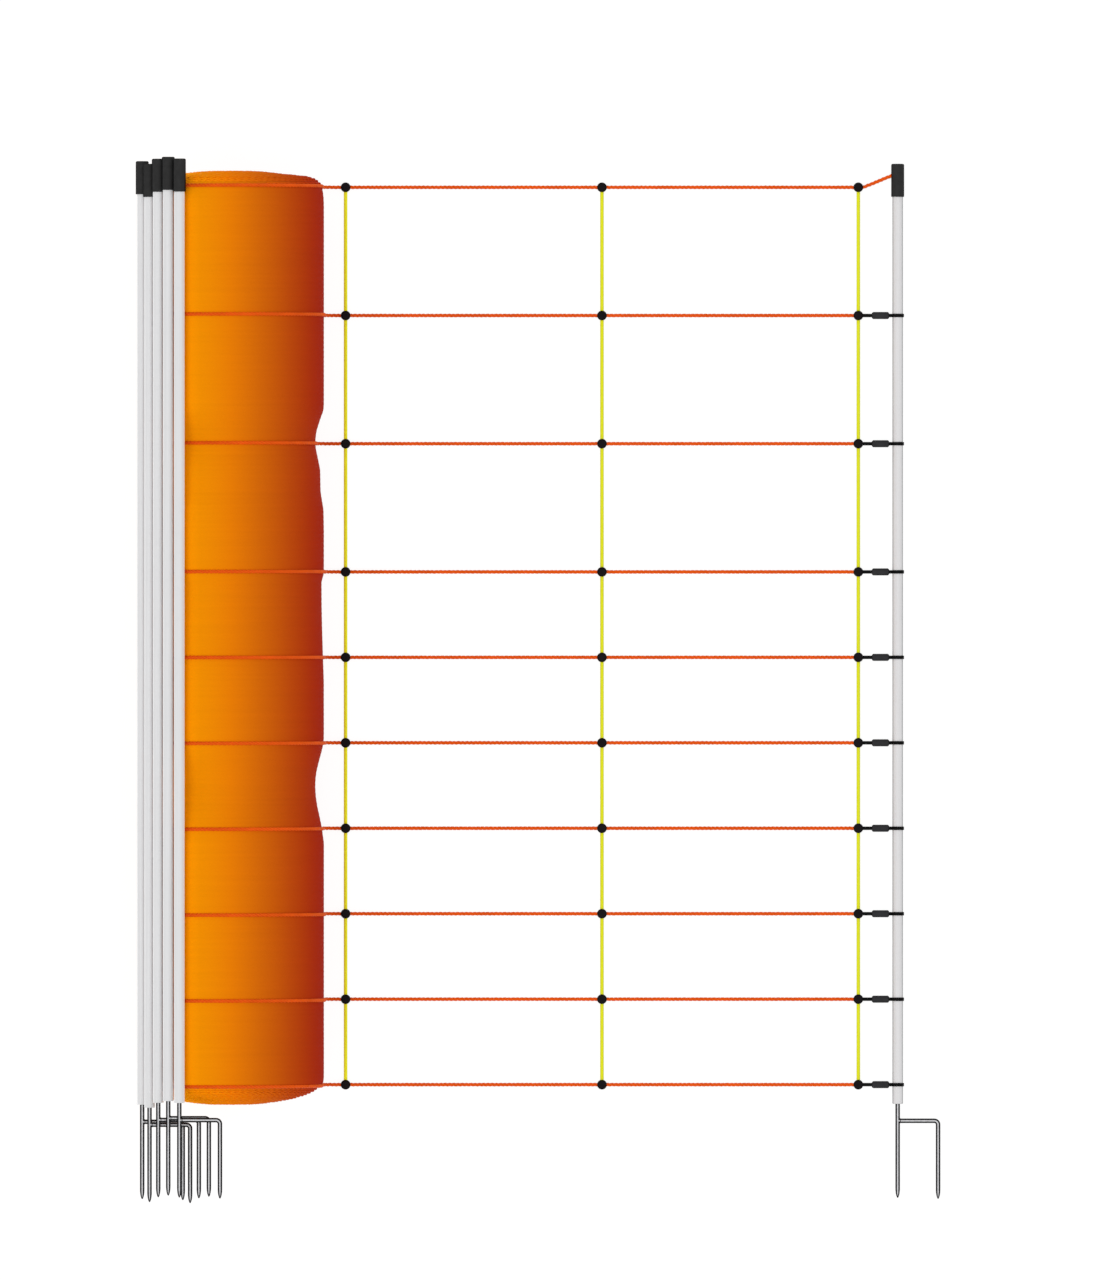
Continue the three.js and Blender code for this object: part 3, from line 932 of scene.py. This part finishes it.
    def build_end_turns(self, end: RollEnd) -> Piece:
        """Builds the spiral of cord turns on one end.

        Args:
            end: Which end.

        Returns:
            The piece.
        """
        outline = self.low_end if end is RollEnd.LOW else self.top_end[::-1]
        inmost, outmost = self.end_turn_radii
        fine = [pair for pair in stepped(outline, self.fine_step) if inmost <= pair[0] <= outmost]
        last = len(fine) - 1
        count = int(last * self.fine_step / self.end_turn_pitch * self.end_turn_steps)
        inset = self.end_cord.ply_radius + self.end_cord.lay_radius
        stations = []
        for k in range(count + 1):
            turn = k / self.end_turn_steps * math.tau
            radius, height = fine[min(round(k / count * last), last)]
            stray = sum(size * math.sin(turn * waves + start) for size, waves, start in STRAYS)
            reach = radius + stray
            level = height - end.value * (inset + self.stray_sink * abs(stray))
            stations.append(self.place(reach * math.cos(turn), reach * math.sin(turn), level))
        name = f"roll_{end.name.lower()}_end_turns"
        lay = self.end_cord.inputs(self.end_finish)
        piece = self.cord.grow(name, path_mesh(name, stations), lay)
        return fitted(piece, Slot.NETTING, "net_roll")

    def build(self) -> None:
        """Builds the body and both ends' turns."""
        self.build_body()
        for end in RollEnd:
            self.build_end_turns(end)


def stepped(points: Outline, step: float) -> Outline:
    """An outline's points at even lengths.

    Args:
        points: The outline's corners.
        step: The length between new points.

    Returns:
        The new points, the first and last corner among them.
    """
    lengths = [0.0]
    for (a, b), (c, d) in zip(points, points[1:]):
        lengths.append(lengths[-1] + math.hypot(c - a, d - b))
    count = round(lengths[-1] / step)
    made, piece = [], 0
    for k in range(count + 1):
        want = lengths[-1] * k / count
        while piece < len(points) - 2 and lengths[piece + 1] < want:
            piece += 1
        share = (want - lengths[piece]) / (lengths[piece + 1] - lengths[piece])
        (a, b), (c, d) = points[piece], points[piece + 1]
        made.append((a + (c - a) * share, b + (d - b) * share))
    return made


def smooth_share(value: float) -> float:
    """A share held between 0 and 1, with soft ends."""
    held = min(max(value, 0.0), 1.0)
    return held * held * (3 - 2 * held)


@dataclass
class OpenBay:
    """The open bay: ten twisted strands, three stays and the moulded knots where they cross."""

    roll: RolledNet
    cord: Tree
    spaced: Tree
    cord_finish: Material
    # The first stay's finish is painted lighter, as painted light against the roll's shade.
    stay_finishes: Sequence[Material]
    knot_finish: Material
    strand_radius: float = 1.9
    strand_sink: float = 1.4
    strand_lay: CordLay = CordLay(1.15, 1.15, 15.0, 2.5, 6)
    seat_gap: float = 0.3
    cap_entry: Pair = (2.5, 13.0)  # in from the cap's flank, down from its top
    floor_bend: float = 12.0
    bend_steps: int = 8
    start_turn_deg: float = 150.0
    arc_steps: int = 50
    hidden_start: Outline = ((2.6, 157.0), (1.4, 154.0), (0.4, 151.5))  # depth, angle
    knot_radius: float = 5.65
    knot_half: float = 4.5
    knot_rounding: float = 2.0
    knot_rim: float = 1.2
    knot_largest_turn: float = 0.2
    parting_half: float = 0.35
    parting_rise: float = 0.12
    round_steps: int = 6
    knot_sides: int = 28
    stay_radius: float = 2.1
    stay_sides: int = 16

    def __post_init__(self) -> None:
        """Reads the places of the strands and stays from the frame."""
        self.strand_y = {
            row: Seat.of(f"strand_{row:02d}").low.y + self.strand_radius
            for row in range(1, STRAND_COUNT + 1)
        }
        self.stay_x = {stay: Seat.of(f"stay_{stay}").middle.x for stay in range(1, STAY_COUNT + 1)}
        self.strand_z = Seat.of("stay_1").middle.z

    def over_roll(self, y: float) -> list[Point]:
        """A strand's stations from its start under the bundle, over the roll, to the floor.

        Args:
            y: The strand's place along Y.

        Returns:
            The stations.
        """
        axis_x, axis_z = self.roll.seat.middle.x, self.roll.seat.middle.z
        radius = self.roll.radius_at(y - self.roll.base_y) + self.strand_radius - self.strand_sink
        places = [(radius - dive, turn_deg) for dive, turn_deg in self.hidden_start]
        for k in range(self.arc_steps + 1):
            places.append((radius, self.start_turn_deg * (1 - k / self.arc_steps)))
        stations = []
        for reach, turn_deg in places:
            turn = math.radians(turn_deg)
            stations.append((axis_x + reach * math.cos(turn), y, axis_z + reach * math.sin(turn)))
        for up, along in quarter_round(self.floor_bend, self.bend_steps):
            stations.append((axis_x + radius + along, y, self.strand_z + up))
        return stations

    def build_strand(self, row: int) -> Piece:
        """Builds one strand.

        Args:
            row: The strand's number, 1 at the top.

        Returns:
            The piece.
        """
        y = self.strand_y[row]
        stations = self.over_roll(y)
        last_x = self.stay_x[STAY_COUNT]
        if row == 1:
            cap = Seat.of("end_post_cap")
            inside, down = self.cap_entry
            stations.append((last_x + self.knot_radius + self.seat_gap, y, self.strand_z))
            stations.append((cap.low.x + inside, cap.high.y - down, cap.middle.z))
        else:
            stations.append((last_x, y, self.strand_z))
        name = f"live_strand_{row:02d}"
        lay = self.strand_lay.inputs(self.cord_finish)
        piece = self.cord.grow(name, path_mesh(name, stations), lay)
        return fitted(piece, Slot.POLYWIRE, f"strand_{row:02d}")

    def build_stay(self, stay: int) -> Piece:
        """Builds one upright stay, a plain round plastic rod."""
        low, high = self.strand_y[STRAND_COUNT], self.strand_y[1]
        shell = Shell()
        shell.turned(
            [(0, low), (self.stay_radius, low), (self.stay_radius, high), (0, high)],
            self.stay_sides,
            about(self.stay_x[stay], 0, self.strand_z),
        )
        piece = shell.piece(f"stay_rod_{stay}", self.stay_finishes[stay - 1])
        return fitted(piece, Slot.YELLOW_STAY, f"stay_{stay}")

    def knot_pattern(self) -> Piece:
        """One moulded knot at the origin: a round disc with rolled edges and a parting line."""
        face = self.knot_radius - self.knot_rounding - self.knot_rim
        outline = [(0.0, -self.knot_half), (face, -self.knot_half)]
        for left, risen in quarter_round(self.knot_rounding, self.round_steps):
            outline.append((self.knot_radius - left, -self.knot_half + risen))
        outline.append((self.knot_radius, -self.parting_half))
        outline.append((self.knot_radius + self.parting_rise, 0.0))
        outline += [(radius, -height) for radius, height in reversed(outline[:-1])]
        shell = Shell()
        shell.turned(outline, self.knot_sides, lambda across, up, height: (across, up, height))
        return shell.piece("knot_pattern", self.knot_finish, sharp_deg=50)

    def build_knots(self, stay: int, pattern: Piece) -> Piece:
        """Builds the ten knots of one stay.

        Args:
            stay: The stay's number, 1 beside the roll.
            pattern: The moulding that is repeated.

        Returns:
            The piece.
        """
        name = f"stay_knots_{stay}"
        points = [(self.stay_x[stay], y, self.strand_z) for y in self.strand_y.values()]
        piece = self.spaced.grow(name, path_mesh(name, points), {
            "Moulding": pattern,
            "Largest turn": self.knot_largest_turn,
            "Seed": stay,
            "Finish": self.knot_finish,
        })
        return fitted(piece, Slot.BLACK_PLASTIC, f"stay_{stay}")

    def build(self) -> None:
        """Builds the strands, the stays and their knots."""
        for row in range(1, STRAND_COUNT + 1):
            self.build_strand(row)
        pattern = self.knot_pattern()
        for stay in range(1, STAY_COUNT + 1):
            self.build_stay(stay)
            self.build_knots(stay, pattern)
        bpy.data.objects.remove(pattern)


@dataclass
class Post:
    """A post: a plastic shaft, a black cap, a steel spike and a welded step bar with its tine."""

    prefix: str
    shaft_finish: Material
    cap_finish: Material
    steel_finish: Material
    sides: int = 32
    rod_sides: int = 20
    mouth_chamfer: float = 0.5
    foot_bore: float = 30.0
    fit_gap: float = 0.3
    cap_rounding: float = 1.7
    cap_round_steps: int = 6
    cap_wall: float = 1.1
    cap_overhang: float = 1.4
    cap_bore: float = 18.0
    cap_mouth_rounding: float = 0.5
    cap_mouth_steps: int = 4
    cap_flat_share: float = 0.45
    spike_inside: float = 25.0
    bead_share: float = 0.75
    bar_start_share: float = 0.3
    spike_point: float = 10.5
    point_radius: float = 0.45
    tine_bend: float = 4.4
    bend_steps: int = 8
    rod_coat: float = 0.15

    def __post_init__(self) -> None:
        """Reads the post's places from the frame, where the rods have eight flats."""
        self.shaft = Seat.of(f"{self.prefix}_shaft")
        self.cap = Seat.of(f"{self.prefix}_cap")
        self.spike = Seat.of(f"{self.prefix}_spike")
        self.tine = Seat.of(f"{self.prefix}_side_tine")
        self.x = self.cap.middle.x
        self.z = self.cap.middle.z
        self.place = about(self.x, 0, self.z)
        self.rod_half = (self.tine.high.z - self.tine.low.z) / 2
        self.rod_radius = self.rod_half / math.cos(math.pi / 8) + self.rod_coat
        self.shaft_radius = (self.cap.high.x - self.cap.low.x) / 2 - self.cap_overhang
        self.bar_y = self.tine.high.y - self.rod_half

    def build_shaft(self) -> Piece:
        """Builds the tube, open at its foot where the spike goes in."""
        radius, bore = self.shaft_radius, self.rod_radius + self.fit_gap
        low, high, chamfer = self.shaft.low.y, self.shaft.high.y, self.mouth_chamfer
        outline = [
            (0, low + self.foot_bore),
            (bore, low + self.foot_bore),
            (bore, low + chamfer),
            (bore + chamfer, low),
            (radius - chamfer, low),
            (radius, low + chamfer),
            (radius, high),
            (0, high),
        ]
        shell = Shell()
        shell.turned(outline, self.sides, self.place)
        piece = shell.piece(f"{self.prefix}_tube", self.shaft_finish)
        return fitted(piece, Slot.POST_SHAFT, f"{self.prefix}_shaft")

    def build_cap(self) -> Piece:
        """Builds the cap with rolled edges and a mouth that sits over the shaft."""
        radius = (self.cap.high.x - self.cap.low.x) / 2
        top, mouth = self.cap.high.y, self.cap.low.y
        inner, gap = radius - self.cap_wall, self.fit_gap
        outline = [
            (0, mouth + self.cap_bore),
            (inner, mouth + self.cap_bore),
            (inner, mouth + gap),
            (inner + gap, mouth),
        ]
        for left, risen in quarter_round(self.cap_mouth_rounding, self.cap_mouth_steps):
            outline.append((radius - left, mouth + risen))
        for left, risen in quarter_round(self.cap_rounding, self.cap_round_steps):
            outline.append((radius - risen, top - left))
        outline += [(radius * self.cap_flat_share, top), (0, top)]
        shell = Shell()
        shell.turned(outline, self.sides, self.place)
        piece = shell.piece(f"{self.prefix}_top_cap", self.cap_finish, sharp_deg=50)
        return fitted(piece, Slot.BLACK_PLASTIC, f"{self.prefix}_cap")

    def build_spike(self) -> Piece:
        """Builds the spike with its point, and the weld bead where the step bar meets it."""
        tip, radius = self.spike.low.y, self.rod_radius
        inside = self.shaft.low.y + self.spike_inside
        outline = [(0, tip)]
        for share, part in POINT_OUTLINE:
            outline.append((max(radius * part, self.point_radius), tip + self.spike_point * share))
        outline += [(radius, inside), (0, inside)]
        shell = Shell()
        shell.turned(outline, self.rod_sides, self.place)
        bead_x = self.x + radius * self.bead_share
        shell.turned(
            BEAD_OUTLINE,
            self.rod_sides,
            lambda across, up, height: (bead_x + height, self.bar_y + across, self.z + up),
        )
        piece = shell.piece(f"{self.prefix}_ground_spike", self.steel_finish)
        return fitted(piece, Slot.FORK_STEEL, f"{self.prefix}_spike")

    def build_tine(self) -> Piece:
        """Builds the step bar, its bend and the tine down to its point."""
        radius, tip = self.rod_radius, self.tine.low.y
        tine_x = self.tine.high.x - self.rod_half
        stations = [Vector((self.x + radius * self.bar_start_share, self.bar_y, self.z))]
        for left, risen in quarter_round(self.tine_bend, self.bend_steps):
            stations.append(Vector((tine_x - left, self.bar_y - risen, self.z)))
        radii = [radius] * len(stations)
        for share, part in reversed(POINT_OUTLINE):
            stations.append(Vector((tine_x, tip + self.spike_point * share, self.z)))
            radii.append(max(radius * part, self.point_radius))
        shell = Shell()
        shell.swept(stations, radii, self.rod_sides, Vector((0, 0, 1)))
        piece = shell.piece(f"{self.prefix}_step_tine", self.steel_finish)
        return fitted(piece, Slot.FORK_STEEL, f"{self.prefix}_side_tine")

    def build(self) -> None:
        """Builds the post's four pieces."""
        self.build_shaft()
        self.build_cap()
        self.build_spike()
        self.build_tine()


@dataclass
class StrandClip:
    """A black clip: an arm from the last knot to a band round the end post, and its sleeve."""

    row: int
    bay: OpenBay
    post: Post
    sleeve_finish: Material
    arm_finish: Material
    sleeve_start: float = 15.8
    sleeve_length: float = 20.3
    arm_start: float = 1.0
    arm_radius: float = 2.05
    band_wall: float = 1.0
    band_width: float = 4.0
    band_rounding: float = 0.35
    band_sides: int = 40
    sides: int = 24

    def build(self) -> Piece:
        """Builds the clip as one piece."""
        y, z = self.bay.strand_y[self.row], self.bay.strand_z
        knot_x = self.bay.stay_x[STAY_COUNT]
        inner = self.post.shaft_radius + self.post.fit_gap
        outer = inner + self.band_wall

        def lengthwise(across: float, up: float, height: float) -> Point:
            """A point about the clip's own axis, which runs along X."""
            return (height, y + across, z + up)

        shell = Shell()
        start = knot_x + self.sleeve_start
        end = start + self.sleeve_length
        sleeve = [(radius, start + inset) for radius, inset in SLEEVE_END]
        sleeve += [(radius, end - inset) for radius, inset in reversed(SLEEVE_END)]
        shell.turned(sleeve, self.sides, lengthwise)
        sleeve_faces = len(shell.faces)
        arm_ends = (knot_x + self.arm_start, self.post.x - inner - self.band_wall / 2)
        arm = [(self.arm_radius, place) for place in arm_ends]
        shell.turned([(0.0, arm_ends[0]), *arm, (0.0, arm_ends[1])], self.sides, lengthwise)
        half, soft = self.band_width / 2, self.band_rounding
        band = [
            (inner, -half), (outer - soft, -half), (outer, soft - half),
            (outer, half - soft), (outer - soft, half), (inner, half),
        ]
        shell.turned(band, self.band_sides, about(self.post.x, y, self.post.z))
        piece = shell.piece(f"strand_clip_{self.row:02d}", self.sleeve_finish)
        piece.data.materials.append(self.arm_finish)
        for face in piece.data.polygons[sleeve_faces:]:
            face.material_index = 1
        return fitted(piece, Slot.BLACK_PLASTIC, f"post_clip_{self.row:02d}")


@dataclass
class Studio:
    """A plain pale floor, soft light and the camera straight above the netting."""

    lens: float = 1000.0
    sensor: float = 36.0
    view_height: float = 1498.0
    view_x: float = 18.5
    view_y: float = 46.7
    floor_half: float = 60.0
    floor_drop: float = 0.5
    sky: float = 0.76
    key_strength: float = 1.25
    key_spread_deg: float = 70.0
    key_tilt_deg: Pair = (8.0, -8.0)
    floor_glow: float = 0.91
    floor_shades: tuple[Colour, Colour] = (shade(96, 96, 96), shade(99, 99, 99))
    clouds: Pattern = Pattern(1.5)
    near_clip: float = 1.0
    past_floor: float = 5.0

    def build_floor(self) -> None:
        """Builds the floor, bright enough to read as plain white."""
        half, drop = self.floor_half, -self.floor_drop * MM
        mesh = bpy.data.meshes.new("studio_floor")
        mesh.from_pydata(
            [(-half, -half, drop), (half, -half, drop), (half, half, drop), (-half, half, drop)],
            [], [(0, 1, 2, 3)],
        )
        chart = Chart("pale_floor")
        chart.set(
            Base_Color=chart.ramp(chart.noise(self.clouds), list(zip(NOISE, self.floor_shades))),
            Emission_Color=WHITE,
            Roughness=0.9,
            Specular_IOR_Level=0.1,
            Emission_Strength=self.floor_glow,
        )
        mesh.materials.append(chart.material)
        shown("studio_floor", mesh)

    def build_light(self) -> None:
        """Builds an even sky and one very soft light, a little from the left and from below."""
        scene = bpy.context.scene
        world = bpy.data.worlds.new("soft_sky")
        world.use_nodes = True
        sky = world.node_tree.nodes["Background"]
        sky.inputs["Color"].default_value = WHITE
        sky.inputs["Strength"].default_value = self.sky
        scene.world = world
        light = bpy.data.lights.new("soft_key", "SUN")
        light.energy = self.key_strength
        light.angle = math.radians(self.key_spread_deg)
        key = bpy.data.objects.new("soft_key", light)
        key.rotation_euler = (*(math.radians(tilt) for tilt in self.key_tilt_deg), 0)
        scene.collection.objects.link(key)
        scene.view_settings.view_transform = "Standard"
        scene.view_settings.look = "None"

    def build_camera(self) -> None:
        """Builds the camera, which looks straight down from far off."""
        lens = bpy.data.cameras.new("above")
        lens.sensor_width, lens.lens, lens.sensor_fit = self.sensor, self.lens, "AUTO"
        away = self.lens / self.sensor * self.view_height * MM
        lens.clip_start, lens.clip_end = self.near_clip, away + self.past_floor
        camera = bpy.data.objects.new("above", lens)
        camera.location = (self.view_x * MM, self.view_y * MM, away)
        bpy.context.scene.collection.objects.link(camera)
        bpy.context.scene.camera = camera

    def build(self) -> None:
        """Builds the floor, the light and the camera."""
        self.build_floor()
        self.build_light()
        self.build_camera()


def main() -> None:
    logging.basicConfig(level=logging.INFO, format="%(name)s: %(message)s")
    Studio().build()
    cord, spaced = laid_cord_tree(), spaced_tree()
    roll_seat = Seat.of("net_roll")
    radius = (roll_seat.high.x - roll_seat.low.x) / 2
    netting = WoundNetting(roll_seat.middle.x, radius).make()
    # The end turns' netting is painted 1.22 times lighter, as painted light against the shade in the
    # grooves between their cords.
    end_netting = WoundNetting(roll_seat.middle.x, radius, "orange_netting_edges", 1.22).make()
    cord_finish = PlasticCord().make()
    # The first stay lies in the roll's shade, so its yellow is painted lighter, as painted light; both
    # stays' flanks are painted a little darker than their faces, as painted shade.
    painted_light_yellows = shade(232, 230, 10), shade(226, 224, 10)
    shaded_stay = DrawnPlastic("yellow_stay_plastic_light", *painted_light_yellows).make()
    open_stay = DrawnPlastic("yellow_stay_plastic", shade(212, 214, 8), shade(204, 205, 8)).make()
    # Each dark plastic is painted darker on its flanks than on its face, as painted shade.
    knot_finish = MouldedPlastic("black_knot_plastic", shade(14, 10, 13), shade(10, 8, 9)).make()
    sleeve_finish = MouldedPlastic("dark_sleeve_plastic", shade(44, 44, 46), shade(4, 4, 4)).make()
    arm_finish = MouldedPlastic("black_arm_plastic", shade(7, 7, 7), shade(2, 2, 2)).make()
    cap_finish = MouldedPlastic("dark_cap_plastic", shade(42, 42, 42), shade(5, 5, 5)).make()
    # The end post's shaft flanks are painted darker than its face, as painted shade.
    shaft_grey_and_painted_shade = shade(208, 207, 208), shade(162, 162, 163)
    shaft_finish = DrawnPlastic("pale_shaft_plastic", *shaft_grey_and_painted_shade).make()
    # The bundle's shaft flanks are painted lighter than their face, as painted light against the shade
    # between the touching shafts.
    bundle_grey_and_painted_light = shade(209, 209, 210), shade(234, 234, 235)
    bundle_finish = DrawnPlastic("pale_bundle_plastic", *bundle_grey_and_painted_light).make()
    steel = GalvanisedSteel().make()

    roll = RolledNet(netting, end_netting, cord)
    roll.build()
    # The first stay takes the yellow painted lighter against the roll's shade.
    stay_finishes = (shaded_stay, open_stay, open_stay)
    bay = OpenBay(roll, cord, spaced, cord_finish, stay_finishes, knot_finish)
    bay.build()
    end_post = Post("end_post", shaft_finish, cap_finish, steel)
    end_post.build()
    for number in range(1, BUNDLE_COUNT + 1):
        Post(f"bundle_post_{number}", bundle_finish, cap_finish, steel).build()
    for row in range(2, STRAND_COUNT + 1):
        StrandClip(row, bay, end_post, sleeve_finish, arm_finish).build()


if __name__ == "__main__":
    main()
